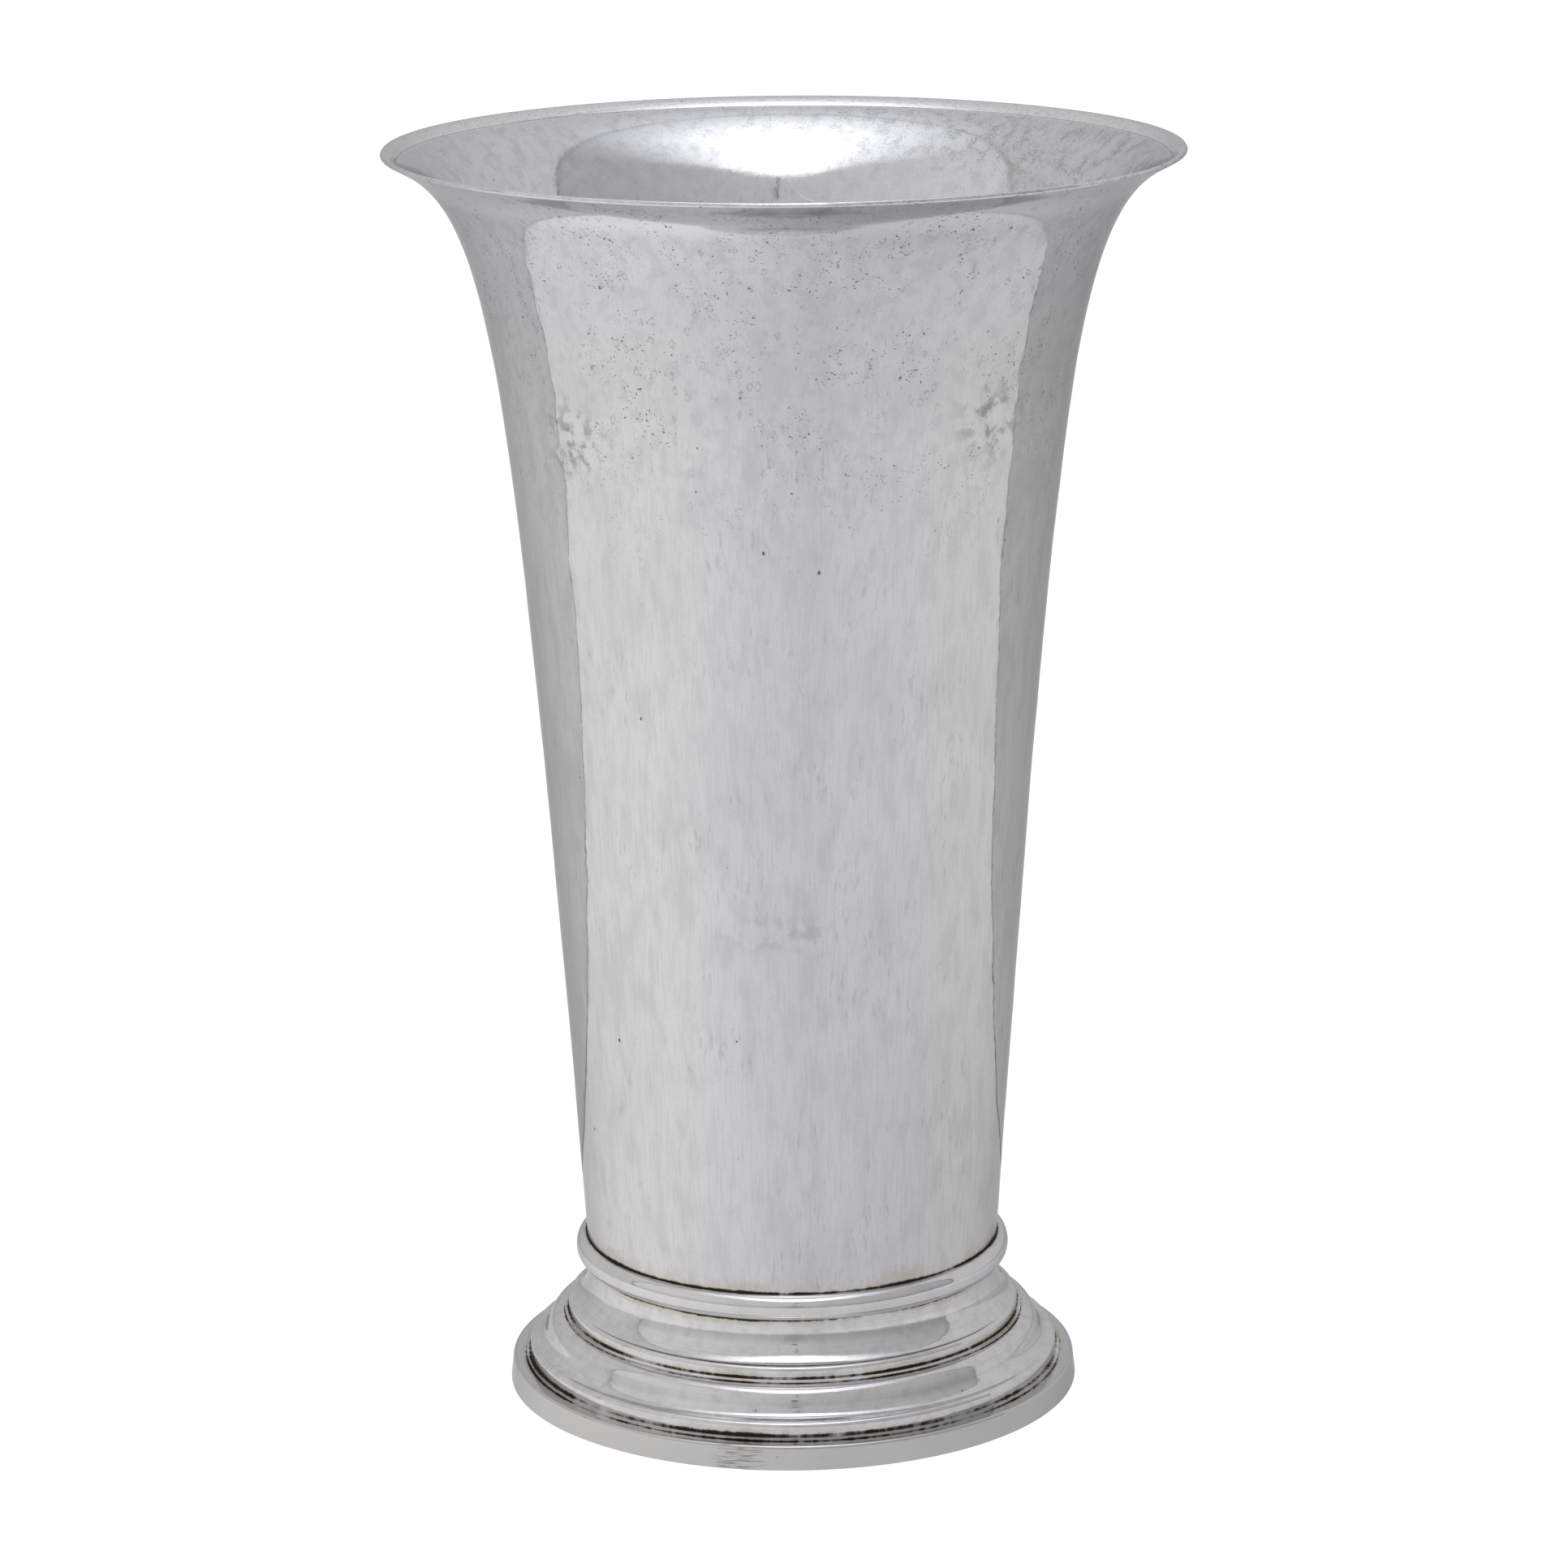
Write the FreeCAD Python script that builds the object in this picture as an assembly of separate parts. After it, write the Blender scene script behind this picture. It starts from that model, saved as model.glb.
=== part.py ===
# Trumpet vase in sheet silver, millimetres, +Z up, origin at the centre of the underside.
# Every piece is a ring about the Z axis: an outline in radius and height, turned once round.
import FreeCAD
import Part
import math
import os

# Overall sizes
vase_height = 305.0
mouth_radius = 95.0
band_radius = 70.0

# Sheet and solder
body_sheet = 0.7
foot_sheet = 0.9
floor_thickness = 1.0
solder_gap = 0.1

# Trumpet: a straight taper plus a flare that dies away below the lip
throat_radius = 42.75
taper_share = 0.054
lip_slope = math.radians(28.3)
lip_land = 4.2
flare_knots = 12
flare_crowding_power = 2.2

# Lip wire, a low half oval laid on the flat land inside the lip
lip_wire_width = 4.2
lip_wire_edge = 0.3
lip_wire_crown = 0.65

# Collar ring, a half round wire over the joint of body, floor and foot
ring_height = 6.6
ring_reach = 2.8
ring_lap = 0.7

# Upper stage of the foot, a cove between a seat on top and a flange below
upper_stage_height = 14.5
seat_width = 6.0
neck_height = 1.0
cove_reach_share = 0.2678
upper_edge_rise = 3.7
upper_edge_bend = 0.2
cove_top_share = 0.78
cove_foot_share = 0.1

# Lower stage of the foot, an ogee between a ledge on top and a flange below
lower_stage_height = 11.0
ledge_width = 5.0
lower_edge_rise = 4.2
lower_edge_bend = 0.3
shoulder_share = 0.75
ogee_foot_share = 0.63

# Turned-out flanges under both stages
flange_reach = 1.0

# Standing band, an L section
band_height = 5.9
band_wall = 2.0
band_flange = 1.6
band_land_share = 0.2476
band_seat = 3.0
band_lean = 0.6
band_edge_round = 0.6

# Heights and radii that follow from the sizes above
ledge_height = band_height + lower_stage_height
seat_height = ledge_height + upper_stage_height
body_bottom = seat_height + floor_thickness
ring_bottom = seat_height - ring_lap
lip_thickness = body_sheet + lip_wire_edge
lip_height = vase_height - lip_thickness * math.cos(lip_slope)
land_radius = mouth_radius - lip_land * math.cos(lip_slope)
land_height = lip_height - lip_land * math.sin(lip_slope)
flare = land_radius - throat_radius - taper_share * land_height
flare_depth = flare / (2 / math.tan(lip_slope) - 2 * taper_share)

AXIS = FreeCAD.Vector(0, 0, 1)
CENTRE = FreeCAD.Vector(0, 0, 0)
FULL_TURN = 360


def point(radius, height):
    """Return a place on an outline."""
    return FreeCAD.Vector(radius, 0, height)


def straight(start, end):
    """Return a straight edge."""
    return Part.LineSegment(start, end).toShape()


def bent(start, middle, end):
    """Return a round edge through three points."""
    return Part.Arc(start, middle, end).toShape()


def swept(poles):
    """Return a free curve that leaves and arrives along its end poles."""
    curve = Part.BezierCurve()
    curve.setPoles(poles)
    return curve.toShape()


def quarter_round(centre, radius):
    """Return the quarter circle from straight above its centre to straight outside it."""
    diagonal = radius * math.sqrt(0.5)
    return bent(centre + point(0, radius), centre + point(diagonal, diagonal), centre + point(radius, 0))


def turned(section):
    """Turn a closed section once round the axis."""
    return section.revolve(CENTRE, AXIS, FULL_TURN)


def turned_sheet(outline, thickness):
    """Turn the section between an outline and the same outline drawn inset by the sheet."""
    outside = Part.Wire(outline(0))
    inside = Part.Wire(outline(thickness))
    low, high = outside.OrderedVertexes[0], outside.OrderedVertexes[-1]
    low_inside, high_inside = inside.OrderedVertexes[0], inside.OrderedVertexes[-1]
    edges = outside.OrderedEdges + [straight(high.Point, high_inside.Point)]
    edges += inside.OrderedEdges[::-1] + [straight(low_inside.Point, low.Point)]
    return turned(Part.Face(Part.Wire(edges)))


def body_radius(height):
    """Return the outer radius of the trumpet at a height below the lip's land."""
    flare_share = 1 / math.sqrt(1 + (land_height - height) / flare_depth)
    return throat_radius + taper_share * height + flare * flare_share


def body_slope(height):
    """Return how fast the outer radius grows with height."""
    flare_share = 1 / math.sqrt(1 + (land_height - height) / flare_depth)
    return taper_share + flare / flare_depth * flare_share ** 3 / 2


# Radii that the foot shares out between the neck of the trumpet and the band
neck_radius = body_radius(seat_height)
foot_reach = band_radius - neck_radius
cove_reach = cove_reach_share * foot_reach
band_land = band_land_share * foot_reach


def trumpet_outline(inset):
    """Return the flare, through knots that crowd towards the lip, and the straight land."""
    raw_bottom = body_bottom - body_sheet
    knots = []
    for step in range(flare_knots + 1):
        drop_share = (1 - step / flare_knots) ** flare_crowding_power
        height = land_height - drop_share * (land_height - raw_bottom)
        lean = math.atan(body_slope(height))
        inward = point(-inset * math.cos(lean), inset * math.sin(lean))
        knots.append(point(body_radius(height), height) + inward)
    lip = point(mouth_radius, lip_height) + point(-math.sin(lip_slope), math.cos(lip_slope)) * inset
    flare_curve = Part.BSplineCurve()
    flare_curve.interpolate(Points=knots)
    return [flare_curve.toShape(), straight(knots[-1], lip)]


def trumpet_body():
    """Raised sheet trumpet, filed flat where it stands on the floor disc."""
    filed_off = Part.makeCylinder(mouth_radius, body_bottom)
    return turned_sheet(trumpet_outline, body_sheet).cut(filed_off).Solids[0]


def lip_wire():
    """Half oval wire on the inner face of the lip's land."""
    along = point(math.cos(lip_slope), math.sin(lip_slope))
    above = point(-math.sin(lip_slope), math.cos(lip_slope))
    outer = point(mouth_radius, lip_height) + above * body_sheet
    inner = outer - along * lip_wire_width
    crown = (outer + inner) * 0.5 + above * lip_wire_crown
    outer_top = outer + above * lip_wire_edge
    inner_top = inner + above * lip_wire_edge
    edges = [straight(inner, outer), straight(outer, outer_top)]
    edges += [bent(outer_top, crown, inner_top), straight(inner_top, inner)]
    return turned(Part.Face(Part.Wire(edges)))


def body_floor():
    """Flat disc that closes the trumpet."""
    return Part.makeCylinder(neck_radius, floor_thickness, point(0, seat_height))


def collar_ring():
    """Half round wire, flat on the inside, over the joint."""
    ring_top = ring_bottom + ring_height
    low = point(body_radius(ring_bottom) + solder_gap, ring_bottom)
    high = point(body_radius(ring_top) + solder_gap, ring_top)
    crest = (low + high) * 0.5 + point(ring_reach, 0)
    return turned(Part.Face(Part.Wire([bent(low, crest, high), straight(high, low)])))


def upper_stage_outline(inset):
    """Return the upper stage upwards: flange, riser, rounded edge, cove, neck and seat."""
    edge_radius = neck_radius + cove_reach
    edge_round = foot_sheet + upper_edge_bend
    edge_centre = point(edge_radius - edge_round, ledge_height + upper_edge_rise - edge_round)
    riser_foot = point(edge_radius - inset, ledge_height + foot_sheet - inset)
    flange = point(edge_radius + flange_reach, riser_foot.z)
    riser_top = edge_centre + point(edge_round - inset, 0)
    cove_end = edge_centre + point(0, edge_round - inset)
    cove_start = point(neck_radius - inset, seat_height - neck_height)
    neck_top = point(neck_radius - inset, seat_height - inset)
    seat = point(neck_radius - seat_width, neck_top.z)
    foot_pull = point(cove_foot_share * (cove_end.x - cove_start.x), 0)
    top_pull = point(0, cove_top_share * (cove_start.z - cove_end.z))
    edges = [straight(flange, riser_foot), straight(riser_foot, riser_top)]
    edges += [quarter_round(edge_centre, edge_round - inset)]
    edges += [swept([cove_end, cove_end - foot_pull, cove_start - top_pull, cove_start])]
    edges += [straight(cove_start, neck_top), straight(neck_top, seat)]
    return edges


def foot_upper_stage():
    """Sheet cove that carries the floor disc on its turned-in seat."""
    return turned_sheet(upper_stage_outline, foot_sheet)


def lower_stage_outline(inset):
    """Return the lower stage upwards: flange, riser, rounded edge, ogee and ledge."""
    shoulder_radius = neck_radius + cove_reach + flange_reach
    edge_radius = band_radius - band_land
    edge_round = foot_sheet + lower_edge_bend
    edge_centre = point(edge_radius - edge_round, band_height + lower_edge_rise - edge_round)
    riser_foot = point(edge_radius - inset, band_height + foot_sheet - inset)
    flange = point(edge_radius + flange_reach, riser_foot.z)
    riser_top = edge_centre + point(edge_round - inset, 0)
    ogee_end = edge_centre + point(0, edge_round - inset)
    shoulder = point(shoulder_radius - inset, ledge_height - inset)
    ledge = point(shoulder_radius - ledge_width, shoulder.z)
    foot_pull = point(ogee_foot_share * (ogee_end.x - shoulder.x), 0)
    shoulder_pull = point(shoulder_share * (ogee_end.x - shoulder.x), 0)
    edges = [straight(flange, riser_foot), straight(riser_foot, riser_top)]
    edges += [quarter_round(edge_centre, edge_round - inset)]
    edges += [swept([ogee_end, ogee_end - foot_pull, shoulder + shoulder_pull, shoulder])]
    edges += [straight(shoulder, ledge)]
    return edges


def foot_lower_stage():
    """Sheet ogee that carries the upper stage on its turned-in ledge."""
    return turned_sheet(lower_stage_outline, foot_sheet)


def foot_band():
    """L section band: a wall to stand on, leaning in a little, and a flange for the lower stage."""
    wall_inside = band_radius - band_wall
    flange_inside = band_radius - band_land - band_seat
    flange_bottom = band_height - band_flange
    top_radius = band_radius - band_lean
    round_centre = point(top_radius - band_edge_round, band_height - band_edge_round)
    corners = [point(top_radius, round_centre.z), point(band_radius, 0), point(wall_inside, 0)]
    corners += [point(wall_inside, flange_bottom), point(flange_inside, flange_bottom)]
    corners += [point(flange_inside, band_height), point(round_centre.x, band_height)]
    edges = [straight(start, end) for start, end in zip(corners, corners[1:])]
    edges += [quarter_round(round_centre, band_edge_round)]
    return turned(Part.Face(Part.Wire(edges)))


pieces = {
    "trumpet_body": trumpet_body(),
    "lip_wire": lip_wire(),
    "body_floor": body_floor(),
    "collar_ring": collar_ring(),
    "foot_upper_stage": foot_upper_stage(),
    "foot_lower_stage": foot_lower_stage(),
    "foot_band": foot_band(),
}
os.makedirs("parts", exist_ok=True)
for name, solid in pieces.items():
    solid.exportStep("parts/" + name + ".step")
    box = solid.BoundBox
    print(name, solid.ShapeType, solid.isValid(), round(solid.Volume), round(box.ZMin, 2), round(box.ZMax, 2))
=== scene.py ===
# %% [markdown]
# # A silver trumpet vase
# The vase is a tall silver trumpet on a stepped round foot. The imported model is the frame: it gives
# every piece its place and its size in metres. Each piece is modelled again here with the softness
# of hand work, and then gets a silver finish with pits, tarnish and polish of its own.

# %% Load the frame
import math
import bpy
from mathutils import Matrix, Vector
from mathutils.geometry import interpolate_bezier


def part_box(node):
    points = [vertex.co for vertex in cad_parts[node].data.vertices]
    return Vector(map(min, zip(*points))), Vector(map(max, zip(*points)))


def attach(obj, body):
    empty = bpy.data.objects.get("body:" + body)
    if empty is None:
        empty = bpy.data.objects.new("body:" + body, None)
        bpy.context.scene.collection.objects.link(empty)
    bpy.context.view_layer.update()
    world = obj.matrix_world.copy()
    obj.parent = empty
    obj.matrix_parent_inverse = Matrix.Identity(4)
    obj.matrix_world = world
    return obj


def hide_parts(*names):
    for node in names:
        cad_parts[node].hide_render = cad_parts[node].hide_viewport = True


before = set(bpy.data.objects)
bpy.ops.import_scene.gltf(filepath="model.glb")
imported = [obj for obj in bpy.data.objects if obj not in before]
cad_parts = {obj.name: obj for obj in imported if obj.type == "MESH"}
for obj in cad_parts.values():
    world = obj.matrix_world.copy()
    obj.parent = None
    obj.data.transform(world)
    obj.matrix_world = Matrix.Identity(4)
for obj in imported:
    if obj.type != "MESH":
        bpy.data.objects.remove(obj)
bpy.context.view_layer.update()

bpy.ops.object.select_all(action="DESELECT")

# %% [markdown]
# ## The camera
# A pinhole camera was fitted to the ellipses of the mouth and the foot. It stood 1.3 m away and
# a little above the vase, looked down by 14 degrees, and was turned by half a degree.

# %% Camera
CAMERA_PLACE = (-0.00113, -1.2992, 0.4787)
LOOKS_DOWN, ROLLED = 14.2, -0.462
PHOTO_WIDTH, FOCAL_PIXELS, SENSOR = 1932, 6818, 36.0
bpy.ops.object.camera_add(location=CAMERA_PLACE)
camera = bpy.context.object
camera.name = "camera"
tilted = Matrix.Rotation(math.radians(90 - LOOKS_DOWN), 4, "X")
rolled = Matrix.Rotation(math.radians(ROLLED), 4, "Z")
camera.matrix_world = Matrix.Translation(camera.location) @ tilted @ rolled
camera.data.sensor_width = SENSOR
camera.data.lens = SENSOR * FOCAL_PIXELS / PHOTO_WIDTH
camera.data.clip_end = 60.0
bpy.context.scene.camera = camera
bpy.context.scene.view_settings.view_transform = "Standard"
print("lens in millimetres", round(camera.data.lens, 2))

# %% [markdown]
# ## Small tools for node trees
# A finish is a tree of nodes. These helpers add a node, link it and hand back its result, so that
# the cells below read as a list of layers and not as a list of links.

# %% Adding a node
def node(tree, kind, settings=None, **inputs):
    """Adds a shader node, sets its properties, and fills or links its inputs."""
    made = tree.nodes.new(kind)
    for name, value in (settings or {}).items():
        setattr(made, name, value)
    for name, value in inputs.items():
        key = int(name[1:]) if name[0] == "i" and name[1:].isdigit() else name.replace("_", " ")
        if isinstance(value, bpy.types.NodeSocket):
            tree.links.new(value, made.inputs[key])
        else:
            made.inputs[key].default_value = value
    return made


# %% Sums in nodes
def maths(tree, operation, first, second=0.0, clamp=False):
    """Adds a Math node and returns its result."""
    settings = {"operation": operation, "use_clamp": clamp}
    return node(tree, "ShaderNodeMath", settings, i0=first, i1=second).outputs[0]


def times(tree, first, *others):
    """Multiplies numbers or masks."""
    for other in others:
        first = maths(tree, "MULTIPLY", first, other)
    return first


def plus(tree, first, *others):
    """Adds numbers or masks."""
    for other in others:
        first = maths(tree, "ADD", first, other)
    return first


def minus(tree, first, second):
    """Takes one number from another."""
    return maths(tree, "SUBTRACT", first, second)


def away_from(tree, value, centre):
    """Returns how far a value lies from another, either way."""
    return maths(tree, "ABSOLUTE", minus(tree, value, centre))


def length(tree, first, second):
    """Returns the length of the slope over two sides."""
    squares = plus(tree, maths(tree, "POWER", first, 2.0), maths(tree, "POWER", second, 2.0))
    return maths(tree, "SQRT", squares)


# %% Masks and mixes
def ramp(tree, value, low, high, out_low=0.0, out_high=1.0, smooth=True):
    """Maps a value from one range to another, held at both ends."""
    settings = {"interpolation_type": "SMOOTHSTEP" if smooth else "LINEAR"}
    return node(tree, "ShaderNodeMapRange", settings,
                i0=value, i1=low, i2=high, i3=out_low, i4=out_high).outputs[0]


def hump(tree, value, centre, half, soft):
    """Is 1 within a half width of a value and falls off softly outside it."""
    return ramp(tree, away_from(tree, value, centre), half, half + soft, 1.0, 0.0)


def most(tree, first, *others):
    """Returns the largest of some masks."""
    for other in others:
        first = maths(tree, "MAXIMUM", first, other)
    return first


def blend(tree, share, first, second):
    """Mixes two numbers."""
    settings = {"data_type": "FLOAT"}
    return node(tree, "ShaderNodeMix", settings, i0=share, i2=first, i3=second).outputs[0]


print("the helpers for node trees are ready")

# %% [markdown]
# ## The studio
# The vase stands on a white sheet that ends in a straight line 16 cm behind its axis. The pale
# panel on the body is that sheet, its wavy border is the sheet's edge, and the darker sides are
# the floor past it, painted darker as shade. The room is brighter on the left, and a rail crosses it
# behind the vase. The small dark marks on the front of the foot are the camera, the dim patch round
# them is its tripod, and the upright mark in the mouth is its cord.

# %% The room
world = bpy.data.worlds.new("studio")
bpy.context.scene.world = world
world.use_nodes = True
sky = world.node_tree
sky.nodes.clear()
way = node(sky, "ShaderNodeSeparateXYZ", i0=node(sky, "ShaderNodeTexCoord").outputs["Generated"])
east, north, up = way.outputs
HORIZON_LEAN, BACK_WALL = 0.22, 0.58
tilt = minus(sky, north, times(sky, up, HORIZON_LEAN))
side = ramp(sky, east, -0.9, 0.9, 0.68, 0.42, smooth=False)
side = times(sky, side, ramp(sky, up, 0.05, 0.42, 0.80, 1.0))
room = blend(sky, ramp(sky, tilt, -0.004, 0.004), side, BACK_WALL)
rail = ramp(sky, maths(sky, "ABSOLUTE", tilt), 0.006, 0.012, 0.25, 1.0)
print("nodes for the room", len(sky.nodes))

# %% Camera, cord and tripod as the silver sees them
CORD_LEAN = math.tan(math.radians(2))
in_front = maths(sky, "LESS_THAN", north, 0.0)
lens = times(sky, hump(sky, east, 0.012, 0.022, 0.006), hump(sky, up, 0.337, 0.018, 0.006))
swung = plus(sky, east, times(sky, north, CORD_LEAN))
cord = times(sky, hump(sky, swung, 0.0, 0.005, 0.005), hump(sky, up, 0.60, 0.08, 0.02))
dark = times(sky, most(sky, lens, cord), in_front, 0.85)
legs = times(sky, hump(sky, east, 0.02, 0.02, 0.12), hump(sky, up, 0.12, 0.08, 0.14))
tripod = times(sky, legs, in_front, 0.22)
shade = times(sky, minus(sky, 1.0, dark), minus(sky, 1.0, tripod))
level = times(sky, room, rail, shade)
air = node(sky, "ShaderNodeBackground", Color=(1.0, 1.0, 1.0, 1.0), Strength=level)
sky.links.new(air.outputs[0], node(sky, "ShaderNodeOutputWorld").inputs["Surface"])
print("nodes for the whole world", len(sky.nodes))

# %% [markdown]
# ### The lamp
# One broad soft lamp hangs overhead and in front. It makes the highlight in the mouth, so its
# side towards the camera ends in a bowed edge that is crisper than the others. Its middle is
# white and its borders are a little blue.

# %% Soft lamp
LAMP_PLACE, LAMP_WIDTH, LAMP_DEPTH, LAMP_LEVEL = (0.02, -0.68, 1.32), 1.9, 2.7, 1.15
bpy.ops.object.light_add(type="AREA", location=LAMP_PLACE)
lamp = bpy.context.object
lamp.name = "soft_lamp"
lamp.data.shape = "RECTANGLE"
lamp.data.size = LAMP_WIDTH
lamp.data.size_y = LAMP_DEPTH
lamp.data.energy = math.pi * LAMP_WIDTH * LAMP_DEPTH * LAMP_LEVEL
lamp.data.use_nodes = True
print("lamp watts", round(lamp.data.energy, 1))

# %% The lamp's cloth
cloth = lamp.data.node_tree
on_lamp = node(cloth, "ShaderNodeNewGeometry").outputs["Parametric"]
spread = node(cloth, "ShaderNodeSeparateXYZ", i0=on_lamp)
wide = hump(cloth, spread.outputs[0], 0.5, 0.0, 0.50)
deep = hump(cloth, spread.outputs[1], 0.5, 0.10, 0.40)
bow = times(cloth, maths(cloth, "POWER", minus(cloth, spread.outputs[0], 0.5), 2.0), 1.5)
near_edge = ramp(cloth, minus(cloth, spread.outputs[1], bow), 0.33, 0.39)
core = times(cloth, wide, deep, near_edge)
BORDER_BLUE, WHITE = (0.80, 0.88, 1.0, 1.0), (1.0, 1.0, 1.0, 1.0)
lamp_colour = node(cloth, "ShaderNodeMix", {"data_type": "RGBA"}, i0=core, i6=BORDER_BLUE, i7=WHITE)
glow = cloth.nodes["Emission"]
cloth.links.new(lamp_colour.outputs[2], glow.inputs["Color"])
cloth.links.new(core, glow.inputs["Strength"])
print("nodes for the lamp", len(cloth.nodes))

# %% [markdown]
# ### The table
# The floor is one large plane with a tone worked out from the place. It has the sheet's edge with
# a thin dark line, painted light that is brighter on the left, a painted shadow of the tripod in
# front, a painted shade close to the vase, and painted shade on the floor past the sheet's edge.
# The camera sees it as white. Silver sees the tones, and everything else sees plain pale paper.

# %% Floor
SHEET_ENDS = 0.157
bpy.ops.mesh.primitive_plane_add(size=24.0, location=(0.0, 0.0, 0.0))
floor = bpy.context.object
floor.name = "floor"
paper = bpy.data.materials.new("floor_paper")
paper.use_nodes = True
tree = paper.node_tree
tree.nodes.clear()
spot = node(tree, "ShaderNodeSeparateXYZ", i0=node(tree, "ShaderNodeTexCoord").outputs["Object"])
floor_x, floor_y = spot.outputs[0], spot.outputs[1]
print("the sheet ends behind the axis by", SHEET_ENDS)

# %% Tones of the sheet and of the floor past it, with painted light and shade
from_axis = length(tree, floor_x, floor_y)
turned_right = maths(tree, "DIVIDE", floor_x, from_axis)
before = maths(tree, "LESS_THAN", floor_y, 0.0)
# A painted shadow of the camera's tripod on the sheet in front of the vase.
stand = times(tree, hump(tree, turned_right, 0.17, 0.04, 0.16), before, 0.055)
close_by = ramp(tree, from_axis, 0.12, 0.50, 1.0, 0.0)
close_dark = times(tree, close_by, ramp(tree, turned_right, 0.05, 0.98, 0.03, 0.20))
# The sheet is painted brighter on the left, where the room's light is stronger.
sheet_tone = ramp(tree, turned_right, -1.0, 0.10, 0.872, 0.715)
sheet_tone = times(tree, sheet_tone, minus(tree, 1.0, stand), minus(tree, 1.0, close_dark))
# The floor past the sheet's edge is painted darker as shade, and painted lighter on the left where
# the light is stronger.
floor_tone = ramp(tree, floor_x, -0.7, 0.7, 0.62, 0.433)
past_edge = minus(tree, floor_y, SHEET_ENDS)
paper_tone = blend(tree, ramp(tree, past_edge, -0.0005, 0.0005), sheet_tone, floor_tone)
edge_line = ramp(tree, maths(tree, "ABSOLUTE", past_edge), 0.002, 0.0035, 0.15, 1.0)
paper_tone = times(tree, paper_tone, edge_line)
print("nodes for the tones", len(tree.nodes))

# %% What each kind of ray sees
CAMERA_WHITE, LIT_SHARE = 1.32, 0.28
light_path = node(tree, "ShaderNodeLightPath")
from_camera = light_path.outputs["Is Camera Ray"]
paper_tone = blend(tree, from_camera, paper_tone, CAMERA_WHITE)
lit = node(tree, "ShaderNodeBsdfDiffuse", Color=(0.82, 0.82, 0.82, 1.0))
seen = node(tree, "ShaderNodeEmission", Color=WHITE, Strength=paper_tone)
seen_lit = node(tree, "ShaderNodeMixShader", i0=LIT_SHARE, i1=seen.outputs[0], i2=lit.outputs[0])
rays = maths(tree, "ADD", from_camera, light_path.outputs["Is Glossy Ray"], clamp=True)
rays = maths(tree, "ADD", rays, light_path.outputs["Is Transmission Ray"], clamp=True)
both = node(tree, "ShaderNodeMixShader", i0=rays, i1=lit.outputs[0], i2=seen_lit.outputs[0])
tree.links.new(both.outputs[0], node(tree, "ShaderNodeOutputMaterial").inputs["Surface"])
floor.data.materials.append(paper)
print("the floor has", len(tree.nodes), "nodes")

# %% [markdown]
# ## How the round pieces are modelled
# Every piece of this vase was raised, spun or drawn round one axis. So each one is drawn as a
# closed section, a chain of points extruded one after the other, and then spun round the Z axis.
# Sections are written in millimetres, radius first and height second, and become metres at the end.

# %% Section helpers
MM = 0.001


def line(start, end, pieces=3):
    """Returns the points of a straight run, crowded at both ends so that corners stay crisp."""
    shares = [0.5 - 0.5 * math.cos(math.pi * k / pieces) for k in range(pieces + 1)]
    return [tuple(a + (b - a) * share for a, b in zip(start, end)) for share in shares]


def sweep(start, pull, push, end, count=14):
    """Returns the points of a free curve between two places."""
    corners = [Vector((p[0], p[1], 0.0)) for p in (start, pull, push, end)]
    return [(p.x, p.y) for p in interpolate_bezier(*corners, count)]


def arc(centre, radius, first, last, count=8):
    """Returns the points of a round bend between two angles in degrees."""
    angles = [math.radians(first + (last - first) * k / (count - 1)) for k in range(count)]
    return [(centre[0] + radius * math.cos(a), centre[1] + radius * math.sin(a)) for a in angles]


def chain(*runs):
    """Joins runs of points and drops the ones that repeat."""
    joined = []
    for run in runs:
        for spot in run:
            if not joined or math.dist(spot, joined[-1]) > 1e-4:
                joined.append(spot)
    if math.dist(joined[0], joined[-1]) < 1e-4:
        joined.pop()
    return joined


tried = arc((0, 0), 1, 0, 90, 3)
print("a quarter bend in three points", [(round(x, 2), round(y, 2)) for x, y in tried])

# %% The spinning helper
FULL_TURN = 2 * math.pi
SOFT_EDGE = math.radians(32)


def turn(name, section, steps=256, closed=True, first_angle=0.0, sweep_angle=FULL_TURN):
    """Draws a section as a chain of extruded points and spins it round the axis."""
    bpy.ops.object.select_all(action="DESELECT")
    bpy.ops.mesh.primitive_plane_add(size=0.001, location=(0.0, 0.0, 0.0))
    piece = bpy.context.object
    piece.name = name
    piece.data.name = name
    bpy.ops.object.mode_set(mode="EDIT")
    bpy.ops.mesh.select_mode(type="VERT")
    bpy.ops.mesh.merge(type="CENTER")
    out = Vector((math.cos(first_angle), math.sin(first_angle), 0.0))
    places = [out * (radius * MM) + Vector((0.0, 0.0, height * MM)) for radius, height in section]
    bpy.ops.transform.translate(value=places[0])
    for before, after in zip(places, places[1:] + places[:1] if closed else places[1:]):
        bpy.ops.mesh.extrude_vertices_move(TRANSFORM_OT_translate={"value": after - before})
    bpy.ops.mesh.select_all(action="SELECT")
    bpy.ops.mesh.remove_doubles(threshold=1e-6)
    bpy.ops.mesh.select_all(action="SELECT")
    bpy.ops.mesh.spin(steps=steps, angle=sweep_angle, center=(0.0, 0.0, 0.0), axis=(0.0, 0.0, 1.0))
    bpy.ops.mesh.select_all(action="SELECT")
    bpy.ops.mesh.remove_doubles(threshold=1e-6)
    if sweep_angle < FULL_TURN:
        bpy.ops.mesh.fill_holes(sides=0)
    bpy.ops.mesh.select_all(action="SELECT")
    bpy.ops.mesh.normals_make_consistent(inside=False)
    bpy.ops.object.mode_set(mode="OBJECT")
    bpy.ops.object.shade_smooth_by_angle(angle=SOFT_EDGE)
    print(name, "has", len(piece.data.polygons), "faces")
    return piece


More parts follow.
